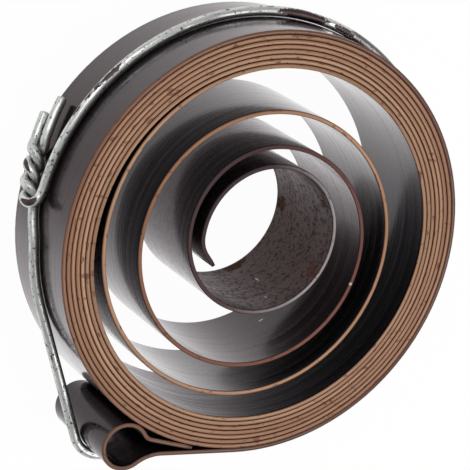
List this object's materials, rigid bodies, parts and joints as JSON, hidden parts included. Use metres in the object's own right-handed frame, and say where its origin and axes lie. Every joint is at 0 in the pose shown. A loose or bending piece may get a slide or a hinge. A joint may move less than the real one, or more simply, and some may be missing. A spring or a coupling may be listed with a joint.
{
  "type": "drill press return spring",
  "caption": "Flat spiral spring of dark steel strip with a hooked inner end and a rolled outer eye, wound up and tied with binding wire.",
  "frame": {"origin": "axis of the inner coil, where the shaft goes, on the plane that the spring rests on", "axes": "+Z along the coil axis, from the resting edge of the strip to the upper one; -Y roughly towards the eye"},
  "size_m": [0.0732, 0.0743, 0.019],
  "materials": {
    "dark_spring_steel": "dark oiled oxide on the faces, copper-brown on the slit edges",
    "galvanised_wire": "light grey zinc, scuffed and stained brown in places"
  },
  "bodies": {
    "root": {"spring_strip": "dark_spring_steel", "tie_wire": "galvanised_wire"}
  },
  "joints": []
}
